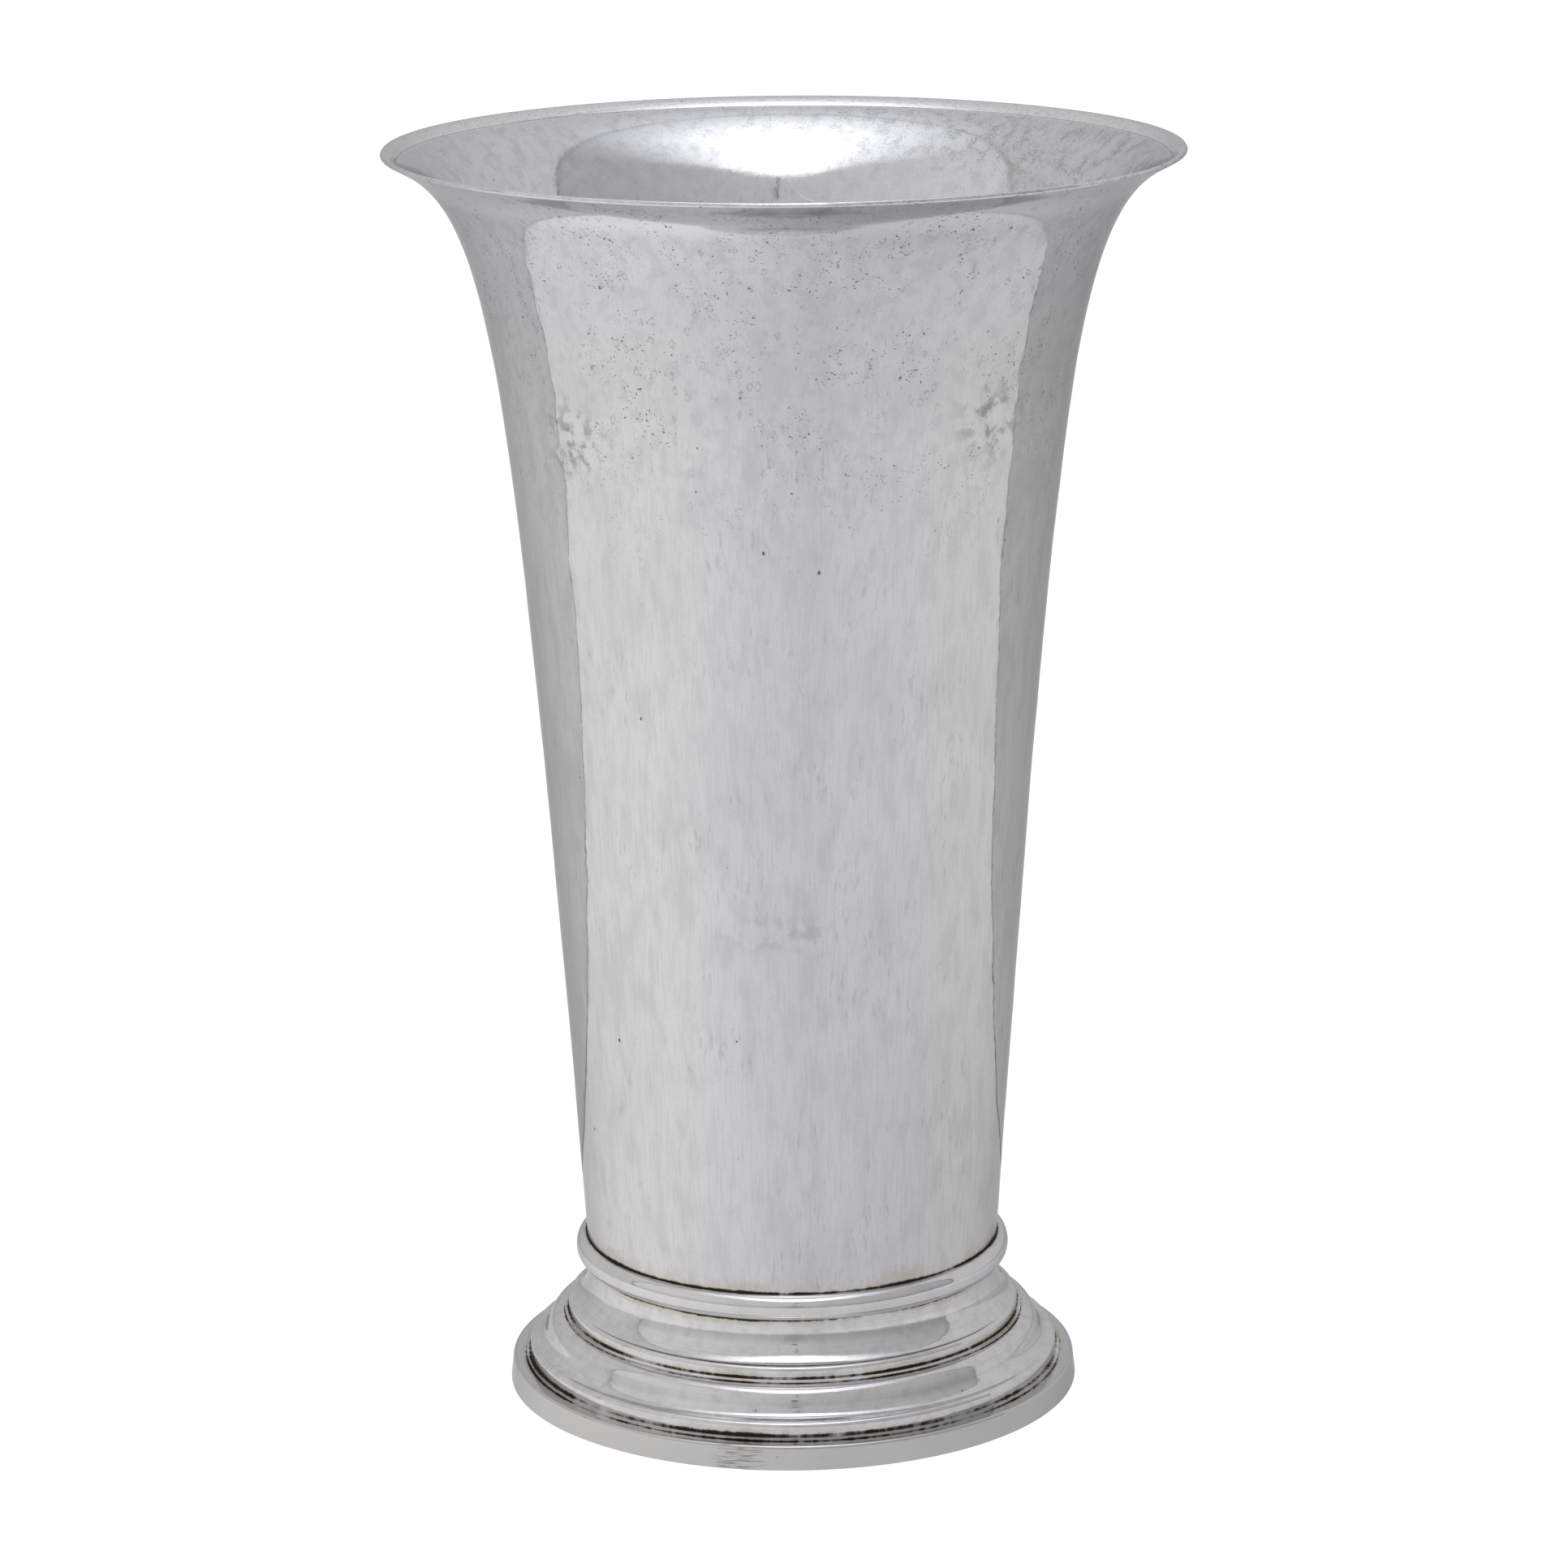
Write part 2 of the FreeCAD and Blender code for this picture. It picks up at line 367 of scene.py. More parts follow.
# %% Putting a piece in its CAD node's place
def settle(piece, node_name):
    """Lets a finished piece stand for its CAD node and move with the vase."""
    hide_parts(node_name)
    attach(piece, "root")
    low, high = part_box(node_name)
    mine = [piece.matrix_world @ vertex.co for vertex in piece.data.vertices]
    over = max(max(p[k] - high[k], low[k] - p[k]) for p in mine for k in range(3))
    print(piece.name, "stands outside its CAD box by millimetres", round(over / MM, 3))


# %% [markdown]
# ## The trumpet
# The body was raised from one sheet 0.7 mm thick. Below it is a slim cone, and above it flares out
# to a narrow flat land that carries the wire. The flare follows one smooth law, so the same law
# gives each ring of points here, close together where the sheet turns out fast.

# %% Trumpet law
VASE_HEIGHT, MOUTH_RADIUS, SHEET = 305.0, 95.0, 0.7
THROAT, TAPER, BODY_BOTTOM = 42.75, 0.054, 32.4
LIP_SLOPE, LIP_EDGE, LAND_WIDTH = math.radians(28.3), 1.0, 4.2
along = (math.cos(LIP_SLOPE), math.sin(LIP_SLOPE))
inward = (-math.sin(LIP_SLOPE), math.cos(LIP_SLOPE))
LIP = (MOUTH_RADIUS, VASE_HEIGHT - LIP_EDGE * along[0])
LAND = (LIP[0] - LAND_WIDTH * along[0], LIP[1] - LAND_WIDTH * along[1])
FLARE = LAND[0] - THROAT - TAPER * LAND[1]
FLARE_DEPTH = FLARE / (2 / math.tan(LIP_SLOPE) - 2 * TAPER)


def body_radius(height):
    """Returns the outer radius of the trumpet in millimetres."""
    return THROAT + TAPER * height + FLARE / math.sqrt(1 + (LAND[1] - height) / FLARE_DEPTH)


def body_lean(height):
    """Returns the angle between the wall and the vertical."""
    turning = (1 + (LAND[1] - height) / FLARE_DEPTH) ** -1.5
    return math.atan(TAPER + FLARE / FLARE_DEPTH * turning / 2)


widths = [round(body_radius(height), 1) for height in (BODY_BOTTOM, 150, LAND[1])]
print("radius at the bottom, half way up and at the land", widths)


# %% Wall of the trumpet
def body_wall(inset, rings):
    """Returns the wall upwards at a depth in the sheet, with rings that crowd towards the lip."""
    spots = []
    for k in range(rings + 1):
        height = LAND[1] - (1 - k / rings) ** 1.5 * (LAND[1] - BODY_BOTTOM + inset * 0.07)
        lean = body_lean(height)
        radius = body_radius(height) - inset * math.cos(lean)
        spots.append((radius, max(height + inset * math.sin(lean), BODY_BOTTOM)))
    return spots


def from_lip(back, up):
    """Returns a place at the lip: millimetres back down the land, and up through the sheet."""
    return (LIP[0] - along[0] * back + inward[0] * up, LIP[1] - along[1] * back + inward[1] * up)


outside = body_wall(0.0, 140)
inside = body_wall(SHEET, 70)
WORN, WORN_PULL = 0.40, 0.2
edge_low, edge_side, lip_inside = from_lip(WORN, 0.0), from_lip(0.0, WORN), from_lip(0.0, SHEET)
trumpet_section = chain(
    outside,
    line(LAND, edge_low, 4),
    sweep(edge_low, from_lip(WORN_PULL, 0.0), from_lip(0.0, WORN_PULL), edge_side, 9),
    line(edge_side, lip_inside, 2),
    line(lip_inside, inside[-1], 4),
    inside[::-1],
)
trumpet = turn("trumpet", trumpet_section)

# %% [markdown]
# ### Planishing and dents
# A raised body is smoothed with a flat hammer, which leaves shallow facets that make the border of
# a reflection wander. Displace modifiers with a cloud texture give that relief. The dents are then
# pushed in one by one with proportional editing. Both stop short of the lip and of the joint below.

# %% Planished relief
def weigh(piece, name, weight):
    """Fills a vertex group from a rule that takes a place in metres."""
    group = piece.vertex_groups.new(name=name)
    for vertex in piece.data.vertices:
        share = weight(vertex.co)
        if share > 0:
            group.add([vertex.index], share, "REPLACE")
    return group


def relief(piece, group, name, size, depth):
    """Displaces the grouped part of a piece along its normals by a soft cloud."""
    cloud = bpy.data.textures.new(name, "CLOUDS")
    cloud.noise_scale = size
    cloud.noise_depth = 1
    bpy.context.view_layer.objects.active = piece
    change = piece.modifiers.new(name, "DISPLACE")
    change.texture = cloud
    change.texture_coords = "LOCAL"
    change.vertex_group = group.name
    change.mid_level = 0.5
    change.strength = depth
    bpy.ops.object.modifier_apply(modifier=name)


def hammered(place):
    """Is 1 on the free wall and fades out at the lip and at the joint."""
    return max(0.0, min(1.0, (place.z - 0.040) / 0.02, (0.298 - place.z) / 0.012))


FACET_DEPTH, SWELL_DEPTH = 0.00011, 0.00030
worked = weigh(trumpet, "worked", hammered)
relief(trumpet, worked, "planish", 0.0085, FACET_DEPTH)
relief(trumpet, worked, "raise", 0.034, SWELL_DEPTH)
print("the deepest layer of the relief in millimetres", round(SWELL_DEPTH / MM, 2))


# %% Dents
def dent(piece, angle, height, depth, width):
    """Pushes one place of the wall inwards, softly. The angle runs from the front to the right."""
    radius, way_round = body_radius(height) * MM, math.radians(angle)
    spot = Vector((radius * math.sin(way_round), -radius * math.cos(way_round), height * MM))
    nearest = min(piece.data.vertices, key=lambda vertex: (vertex.co - spot).length).index
    push = Vector((-spot.x, -spot.y, 0.0)).normalized() * (depth * MM)
    bpy.ops.object.select_all(action="DESELECT")
    piece.select_set(True)
    bpy.context.view_layer.objects.active = piece
    bpy.ops.object.mode_set(mode="EDIT")
    bpy.ops.mesh.select_all(action="DESELECT")
    bpy.ops.object.mode_set(mode="OBJECT")
    piece.data.vertices[nearest].select = True
    bpy.ops.object.mode_set(mode="EDIT")
    bpy.ops.transform.translate(value=push, use_proportional_edit=True,
                                proportional_edit_falloff="SMOOTH", proportional_size=width * MM)
    bpy.ops.object.mode_set(mode="OBJECT")


# Angle in degrees, then height, depth and width in millimetres
dents = [
    (-46, 247, 0.16, 5), (-43, 243, 0.10, 4), (-50, 240, 0.12, 4), (-40, 246, 0.08, 3),
    (-37, 239, 0.07, 4), (44, 250, 0.15, 5), (47, 246, 0.10, 4), (41, 246, 0.10, 4),
    (38, 240, 0.08, 3), (50, 252, 0.07, 4), (-12, 226, 0.05, 5), (16, 96, 0.06, 6),
    (33, 128, 0.05, 7), (-33, 170, 0.05, 6), (120, 215, 0.14, 6), (158, 140, 0.10, 8),
    (-140, 90, 0.12, 6), (-165, 235, 0.10, 5),
]
for angle, height, depth, width in dents:
    dent(trumpet, angle, height, depth, width)
bpy.ops.object.shade_smooth_by_angle(angle=SOFT_EDGE)
settle(trumpet, "trumpet_body")

# %% [markdown]
# ## The lip wire
# A low half oval wire stiffens the mouth. It was bent round and its two ends meet in a butt joint
# that shows as a hairline at the right of the mouth. So its section is spun by a little less than
# a full turn, and both ends are closed.

# %% Lip wire
def on_land(away, up):
    """Returns a place on the lip's land: millimetres in from its edge, and up from the sheet."""
    x, y = lip_inside
    return (x - along[0] * away + inward[0] * up, y - along[1] * away + inward[1] * up)


wire_section = chain(
    line(on_land(LAND_WIDTH, 0.0), on_land(0.06, 0.0), 4),
    sweep(on_land(0.06, 0.0), on_land(0.0, 0.01), on_land(0.01, 0.17), on_land(0.12, 0.27), 6),
    sweep(on_land(0.12, 0.27), on_land(0.9, 0.66), on_land(2.6, 0.66), on_land(4.08, 0.13), 18),
    sweep(on_land(4.08, 0.13), on_land(4.15, 0.1), on_land(4.2, 0.05), on_land(LAND_WIDTH, 0.0), 4),
)
JOINT_ANGLE, JOINT_GAP = math.radians(-24), 0.0030
first_end = JOINT_ANGLE + JOINT_GAP / 2
nearly_full = FULL_TURN - JOINT_GAP
wire = turn("lip_wire_ring", wire_section, 300, first_angle=first_end, sweep_angle=nearly_full)
settle(wire, "lip_wire")
print("the joint's gap in millimetres", round(JOINT_GAP * (MOUTH_RADIUS - 2), 2))

# %% [markdown]
# ## The floor of the vase
# A flat disc closes the trumpet. It can be seen only from above, deep in the vase. It is spun from
# a half section that ends on the axis, a little dished from its own planishing.

# %% Floor disc
SEAT_HEIGHT = 31.4
NECK = body_radius(SEAT_HEIGHT)
disc_section = chain(
    line((0.0, SEAT_HEIGHT + 0.1), (30.0, SEAT_HEIGHT + 0.02), 8),
    line((30.0, SEAT_HEIGHT + 0.02), (NECK - 0.2, SEAT_HEIGHT), 3),
    arc((NECK - 0.25, SEAT_HEIGHT + 0.25), 0.25, -90, 0, 4),
    arc((NECK - 0.25, BODY_BOTTOM - 0.25), 0.25, 0, 90, 4),
    line((NECK - 0.3, BODY_BOTTOM), (44.0, BODY_BOTTOM), 3),
    line((44.0, BODY_BOTTOM), (0.0, BODY_BOTTOM - 0.15), 14),
)
disc = turn("floor_disc", disc_section, 160, closed=False)
settle(disc, "body_floor")

# %% [markdown]
# ## The collar ring
# A half round wire covers the joint between the trumpet and the foot. Its flat back follows the
# cone of the wall, a tenth of a millimetre away, where the solder is.

# %% Collar ring
SOLDER, RING_BOTTOM, RING_TOP, RING_MIDDLE = 0.1, 30.7, 37.3, 34.0
ring_low = (body_radius(RING_BOTTOM) + SOLDER, RING_BOTTOM)
ring_high = (body_radius(RING_TOP) + SOLDER, RING_TOP)
ring_back = (ring_low[0] + ring_high[0]) / 2
bulge, crest = ring_back + 1.9, (ring_back + 2.8, RING_MIDDLE)
ring_section = chain(
    [(ring_low[0] + 0.06, RING_BOTTOM + 0.02)],
    sweep((ring_low[0] + 0.25, RING_BOTTOM + 0.08), (bulge, 31.0), (crest[0], 32.3), crest, 14),
    sweep(crest, (crest[0], 35.6), (bulge, 36.9), (ring_high[0] + 0.25, RING_TOP - 0.1), 14),
    [(ring_high[0] + 0.05, RING_TOP - 0.04)],
    line(ring_high, ring_low, 3),
)
ring = turn("collar_ring_wire", ring_section)
settle(ring, "collar_ring")

# %% [markdown]
# ## The stepped foot
# The foot is two spun sheets 0.9 mm thick, nested one on the other. The upper one is a cove with a
# turned-in seat above and a turned-out flange below. The lower one is an ogee between a ledge and
# a flange. Each section is drawn twice, outside and one sheet further in, and joined at the ends.

# %% Upper stage
FOOT_SHEET, FLANGE, LEDGE_HEIGHT = 0.9, 1.0, 16.9
EDGE, EDGE_RISE, EDGE_BEND = NECK + 5.3, 3.7, 1.1


def riser(radius, base, rise, bend, inset):
    """Returns a flange, the short wall above it and the bend at the top of that wall."""
    foot, top = base + FOOT_SHEET - inset, base + rise - bend
    return [
        line((radius + FLANGE, foot), (radius - inset + 0.05, foot), 2),
        line((radius - inset, foot + 0.05), (radius - inset, top), 3),
        arc((radius - bend, top), bend - inset, 0, 90, 8),
    ]


def upper_outline(inset):
    """Returns the upper stage upwards at a depth in the sheet."""
    crest = (EDGE - EDGE_BEND, LEDGE_HEIGHT + EDGE_RISE - inset)
    cove_top = (NECK - inset, SEAT_HEIGHT - 1.0)
    foot_pull = 0.10 * (crest[0] - cove_top[0])
    top_pull = 0.78 * (cove_top[1] - crest[1])
    return chain(
        *riser(EDGE, LEDGE_HEIGHT, EDGE_RISE, EDGE_BEND, inset),
        sweep(crest, (crest[0] - foot_pull, crest[1]),
              (cove_top[0], cove_top[1] - top_pull), cove_top, 26),
        line(cove_top, (NECK - inset, SEAT_HEIGHT - inset - 0.1), 2),
        line((NECK - inset - 0.1, SEAT_HEIGHT - inset), (NECK - 6.0, SEAT_HEIGHT - inset), 3),
    )


upper_section = chain(upper_outline(0.0), upper_outline(FOOT_SHEET)[::-1])
upper_stage = turn("upper_stage", upper_section)
settle(upper_stage, "foot_upper_stage")

# %% Lower stage
BAND_HEIGHT, BAND_RADIUS = 5.9, 70.0
SHOULDER, RIM, RIM_RISE, RIM_BEND = EDGE + FLANGE, BAND_RADIUS - 4.9, 4.2, 1.2


def lower_outline(inset):
    """Returns the lower stage upwards at a depth in the sheet."""
    crest = (RIM - RIM_BEND, BAND_HEIGHT + RIM_RISE - inset)
    shoulder = (SHOULDER - inset, LEDGE_HEIGHT - inset)
    reach = crest[0] - shoulder[0]
    crest_pull, shoulder_pull = crest[0] - 0.63 * reach, shoulder[0] + 0.75 * reach
    return chain(
        *riser(RIM, BAND_HEIGHT, RIM_RISE, RIM_BEND, inset),
        sweep(crest, (crest_pull, crest[1]), (shoulder_pull, shoulder[1]), shoulder, 34),
        line(shoulder, (SHOULDER - 5.0, shoulder[1]), 3),
    )


lower_section = chain(lower_outline(0.0), lower_outline(FOOT_SHEET)[::-1])
lower_stage = turn("lower_stage", lower_section)
settle(lower_stage, "foot_lower_stage")

# %% [markdown]
# ## The standing band
# The vase stands on a heavier band, an L in section: a wall that leans in a little, and a flange
# under the lower stage. Its upper edge is worn round, and its lower edge has a slight chamfer.

# %% Band
WALL_INSIDE, FLANGE_INSIDE, FLANGE_BOTTOM = 68.0, 62.1, 4.3
band_section = chain(
    line((BAND_RADIUS - 0.25, 0.0), (WALL_INSIDE + 0.2, 0.0), 2),
    line((WALL_INSIDE, 0.2), (WALL_INSIDE, FLANGE_BOTTOM), 3),
    line((WALL_INSIDE, FLANGE_BOTTOM), (FLANGE_INSIDE, FLANGE_BOTTOM), 3),
    line((FLANGE_INSIDE, FLANGE_BOTTOM), (FLANGE_INSIDE, BAND_HEIGHT), 2),
    line((FLANGE_INSIDE, BAND_HEIGHT), (68.75, BAND_HEIGHT), 4),
    arc((68.72, BAND_HEIGHT - 0.65), 0.65, 90, 5, 8),
    line((69.42, 5.05), (69.97, 0.35), 5),
    [(69.95, 0.12)],
)
band = turn("standing_band", band_section)
settle(band, "foot_band")

# %% [markdown]
# ## The silver
# Old silver is a mirror with a history. Under every finish here lie the same few layers: patches of
# thin tarnish, streaks of polishing, small pits, long scratches and dark crust in the corners where
# no cloth reaches. Each layer is a pattern in the piece's own place, so it turns with the vase.

# %% Starting a finish
CLEAN, COOL, WARM = (0.829, 0.822, 0.840), (0.805, 0.799, 0.848), (0.854, 0.841, 0.826)
HAZE, HALO, CRUST = (0.658, 0.652, 0.672), (0.58, 0.53, 0.41), (0.058, 0.052, 0.052)
BRIGHT, EDGE_TINT = (0.95, 0.95, 0.97), (0.72, 0.72, 0.73, 1.0)


def start_finish(name):
    """Starts a silver finish. Returns it, its tree, its shader and the place in millimetres."""
    finish = bpy.data.materials.new(name)
    finish.use_nodes = True
    tree = finish.node_tree
    metal = tree.nodes["Principled BSDF"]
    metal.inputs["Metallic"].default_value = 1.0
    metal.inputs["Specular Tint"].default_value = EDGE_TINT
    here = node(tree, "ShaderNodeTexCoord").outputs["Object"]
    settings = {"operation": "SCALE"}
    place = node(tree, "ShaderNodeVectorMath", settings, Vector=here, Scale=1 / MM).outputs[0]
    return finish, tree, metal, place


def cylinder(tree, place):
    """Returns the radius and the height of each point, and how far it lies to the right."""
    parts = node(tree, "ShaderNodeSeparateXYZ", i0=place)
    return length(tree, parts.outputs[0], parts.outputs[1]), parts.outputs[2], parts.outputs[0]


def distance(tree, place, spot):
    """Returns how far each point lies from one spot."""
    settings = {"operation": "DISTANCE"}
    return node(tree, "ShaderNodeVectorMath", settings, i0=place, i1=spot).outputs["Value"]


def round_axis(tree, radius, height, right):
    """Returns a place that hardly changes round the axis, for grooves that run round the vase."""
    hardly = times(tree, right, 0.01)
    return node(tree, "ShaderNodeCombineXYZ", X=radius, Y=height, Z=hardly).outputs[0]


print("clean silver, haze and crust are", CLEAN, HAZE, CRUST)


# %% Clouds and hairlines
def stretched(tree, place, scale, moved=(0.0, 0.0, 0.0), turned_by=(0.0, 0.0, 0.0)):
    """Stretches a pattern's place. The scales are patches per millimetre."""
    change = {"Location": moved, "Rotation": turned_by, "Scale": scale}
    return node(tree, "ShaderNodeMapping", Vector=place, **change).outputs[0]


def clouds(tree, place, scale, detail=3.0, **how):
    """Returns soft clouds around one half."""
    if not isinstance(scale, tuple):
        scale = (scale, scale, scale)
    spot = stretched(tree, place, scale, **how)
    return node(tree, "ShaderNodeTexNoise", Vector=spot, Scale=1.0, Detail=detail).outputs["Fac"]


def hairlines(tree, place, scale, width, **how):
    """Returns thin lines where a stretched cloud crosses its middle value."""
    off = away_from(tree, clouds(tree, place, scale, 1.0, **how), 0.5)
    return ramp(tree, off, 0.0, width, 1.0, 0.0)


def wobbled(tree, place, scale, push):
    """Pushes each place about a little, so that what is drawn there loses its round shape."""
    spot = stretched(tree, place, (scale, scale, scale))
    field = node(tree, "ShaderNodeTexNoise", Vector=spot, Scale=1.0, Detail=2.0).outputs["Color"]
    shift = node(tree, "ShaderNodeVectorMath", {"operation": "SCALE"}, Vector=field, Scale=push)
    settings = {"operation": "ADD"}
    return node(tree, "ShaderNodeVectorMath", settings, i0=place, i1=shift.outputs[0]).outputs[0]


def uneven(tree, place):
    """Returns a ragged field: long swells along the joint with a fine grain on top."""
    swell = clouds(tree, place, 0.045, 2.0, moved=(5.0, 1.0, 3.0))
    fine = clouds(tree, place, 0.60, 3.0)
    return plus(tree, times(tree, swell, 0.70), times(tree, fine, 0.30))


print("clouds, hairlines and ragged fields are ready")


# %% Pits, drops and corners
def cells_of(tree, place, size, flatten, **how):
    """Returns the distance from each cell's middle, and three numbers drawn for that cell."""
    spot = stretched(tree, place, (1 / size, 1 / size, flatten / size), **how)
    cells = node(tree, "ShaderNodeTexVoronoi", Vector=spot, Scale=1.0)
    drawn = node(tree, "ShaderNodeSeparateColor", i0=cells.outputs["Color"]).outputs
    return cells.outputs["Distance"], drawn


def pits(tree, place, size, reach, share, **how):
    """Returns small uneven pits in some of the cells of a pattern, each with its own size."""
    off, drawn = cells_of(tree, wobbled(tree, place, 2.6, 0.95), size, 0.8, **how)
    chosen = maths(tree, "LESS_THAN", drawn[0], share)
    edge = times(tree, plus(tree, drawn[1], 0.35), reach / size)
    return times(tree, ramp(tree, off, times(tree, edge, 0.45), edge, 1.0, 0.0), chosen)


def drops(tree, place, size, ring, share, **how):
    """Returns the thin outlines that dried drops leave, upright and uneven."""
    off, drawn = cells_of(tree, wobbled(tree, place, 1.3, 1.5), size, 0.6, **how)
    thin = ramp(tree, away_from(tree, off, ring / size), 0.05 / size, 0.16 / size, 1.0, 0.0)
    return times(tree, thin, maths(tree, "LESS_THAN", drawn[0], share))


def near_corner(tree, spin, corner, close, wide):
    """Is 1 in a corner that runs round the axis and fades outwards with a ragged edge."""
    radius, height, ragged = spin
    away = length(tree, minus(tree, radius, corner[0]), minus(tree, height, corner[1]))
    push = times(tree, minus(tree, ragged, 0.5), 4.0 * wide)
    kept = ramp(tree, ragged, 0.48, 0.60, 1.0, 0.35)
    return times(tree, ramp(tree, plus(tree, away, push), close, wide, 1.0, 0.0), kept)


print("pits, drops and corners are ready")


# %% Laying the layers
def tinted(tree, share, first, second):
    """Mixes two colours, each a colour or the result of another mix."""
    pair = [c if isinstance(c, bpy.types.NodeSocket) else (*c, 1.0) for c in (first, second)]
    mix = node(tree, "ShaderNodeMix", {"data_type": "RGBA"}, i0=share, i6=pair[0], i7=pair[1])
    return mix.outputs[2]


def film(tree, colour, mask, strength, tint):
    """Lays a film of another colour over a finish, where a mask is and as strong as asked."""
    return tinted(tree, times(tree, mask, strength), colour, tint)


def weighed(tree, *layers):
    """Adds up masks, each times its own weight."""
    return plus(tree, *[times(tree, mask, weight) for mask, weight in layers])


def finish_up(tree, metal, colour, roughness, least, skin):
    """Hands the colour, the roughness above its least value, and the bumps to the shader."""
    tree.links.new(colour, metal.inputs["Base Color"])
    tree.links.new(plus(tree, roughness, least), metal.inputs["Roughness"])
    tree.links.new(skin, metal.inputs["Normal"])
    print("the finish has", len(tree.nodes), "nodes")


def bumps(tree, height, depth, under=None):
    """Raises a bump from a pattern, its depth in metres, over another bump if one is given."""
    more = {} if under is None else {"Normal": under}
    bump = node(tree, "ShaderNodeBump", Strength=1.0, Distance=depth, Height=height, **more)
    return bump.outputs[0]


# %% [markdown]
# ### Silver of the trumpet
# The wall is the brightest mirror. It is warm, with a cool band just right of the front middle
# that is a painted reflection of the camera and the photographer, and it is cooler near the lip,
# with vertical streaks from polishing. Pits crowd in clusters below the flare, and faint upright
# dashes are scattered over the wall. Inside the mouth the tarnish is mottled and browner, most of
# all on the right, and the wall gets duller further down. The inside of the mouth and the outside
# just under the lip are painted brighter, as painted light for what their double reflections lose;
# under the lip it is polish as well.

# %% Which side of the sheet a point is on
inside_mark = trumpet.data.attributes.new("inside", "FLOAT", "POINT")
for vertex in trumpet.data.vertices:
    flat = math.hypot(vertex.co.x, vertex.co.y) / MM
    tall = min(vertex.co.z / MM, LAND[1])
    sunk = (body_radius(tall) - flat) * math.cos(body_lean(tall))
    in_or_over = sunk > SHEET * 0.6 or vertex.co.z / MM > LIP[1]
    inside_mark.data[vertex.index].value = 1.0 if in_or_over else 0.0
print("vertices inside", sum(mark.value > 0.5 for mark in inside_mark.data))

# %% Patterns of the trumpet's wall
body_silver, tree, metal, place = start_finish("body_silver")
radius, height, right = cylinder(tree, place)
within = node(tree, "ShaderNodeAttribute", {"attribute_name": "inside"}).outputs["Fac"]
patches = clouds(tree, place, 0.035, 4.0)
cloudy = clouds(tree, place, (0.26, 0.26, 0.085), 9.0, moved=(3.0, 6.0, 2.0))
bloom = clouds(tree, place, 0.30, 9.0, moved=(8.0, 2.0, 6.0))
mottle = clouds(tree, place, 0.75, 5.0, moved=(7.0, 3.0, 1.0))
grain = clouds(tree, place, 2.2, 2.0)
streaks = clouds(tree, place, (1.6, 1.6, 0.022), 4.0)
smears = clouds(tree, place, (0.05, 0.05, 1.3), 3.0)
high_up = ramp(tree, height, 205.0, 262.0)
print("patterns so far take", len(tree.nodes), "nodes")

# %% Haze and polish of the wall
# A cool band just right of the front middle is a painted reflection of the camera and the
# photographer; the wall is also cooler near the lip.
camera_reflection_and_cool_top = most(tree, hump(tree, right, 6.0, 12.0, 26.0), ramp(tree, height, 262.0, 285.0))
colour = tinted(tree, 0.35, tinted(tree, camera_reflection_and_cool_top, WARM, COOL), CLEAN)
colour = film(tree, colour, ramp(tree, patches, 0.45, 0.75), 0.35, HAZE)
colour = film(tree, colour, ramp(tree, cloudy, 0.42, 0.70), 0.52, HAZE)
colour = film(tree, colour, ramp(tree, streaks, 0.45, 0.70), 0.40, HAZE)
colour = film(tree, colour, ramp(tree, bloom, 0.48, 0.66), times(tree, high_up, 0.65), HAZE)
colour = film(tree, colour, hump(tree, height, 268.0, 8.0, 16.0), 0.30, HAZE)
# The inside of the mouth is painted brighter, painted light for what its double reflections lose.
colour = film(tree, colour, within, ramp(tree, right, -20.0, 75.0, 0.35, 0.25), BRIGHT)
# Just under the lip the outer wall is brighter: polish near the lip, and painted light that lifts its
# dark double reflection.
polish_and_painted_light = maths(tree, "SUBTRACT", ramp(tree, height, 294.0, 298.5, 0.0, 0.96), within, clamp=True)
colour = tinted(tree, polish_and_painted_light, colour, BRIGHT)
print("with haze and polish", len(tree.nodes), "nodes")

# %% Pits, dried drops and dashes
clusters = ramp(tree, clouds(tree, place, 0.07, 4.0, moved=(20.0, 5.0, 9.0)), 0.44, 0.55)
columns = clouds(tree, place, (0.11, 0.11, 0.02), 2.0, moved=(2.0, 7.0, 1.0))
zone = times(tree, blend(tree, high_up, 0.10, 1.0), blend(tree, within, 1.0, 0.25))
small_pits = clouds(tree, place, (1.5, 1.5, 1.7), 5.0, moved=(6.0, 1.0, 7.0))
small_pits = ramp(tree, small_pits, 0.61, 0.66)
large_pits = pits(tree, place, 2.6, 0.44, 0.35, moved=(1.0, 2.0, 3.0))
clumps = ramp(tree, clouds(tree, place, 0.24, 3.0, moved=(9.0, 3.0, 5.0)), 0.45, 0.55, 0.05, 1.0)
crowded = times(tree, most(tree, small_pits, large_pits), clusters, zone, clumps)
lone_pits = pits(tree, place, 7.0, 0.42, 0.35, moved=(4.0, 9.0, 2.0))
pitted = times(tree, most(tree, crowded, lone_pits), ramp(tree, mottle, 0.36, 0.5, 0.15, 1.0))
ringed = times(tree, drops(tree, place, 2.8, 0.62, 0.75), ramp(tree, columns, 0.44, 0.58), zone)
dashes = ramp(tree, clouds(tree, place, (1.0, 1.0, 0.20), 4.0, moved=(1.0, 6.0, 4.0)), 0.58, 0.67)
scattered = ramp(tree, clouds(tree, place, 0.05, 3.0, moved=(4.0, 8.0, 6.0)), 0.47, 0.60)
colour = film(tree, colour, times(tree, dashes, scattered), 0.22, (0.30, 0.29, 0.29))
colour = film(tree, colour, ramp(tree, grain, 0.45, 0.72), 0.25, HAZE)
colour = film(tree, colour, pitted, 0.95, (0.11, 0.105, 0.105))
colour = film(tree, colour, ringed, 0.40, (0.28, 0.27, 0.27))
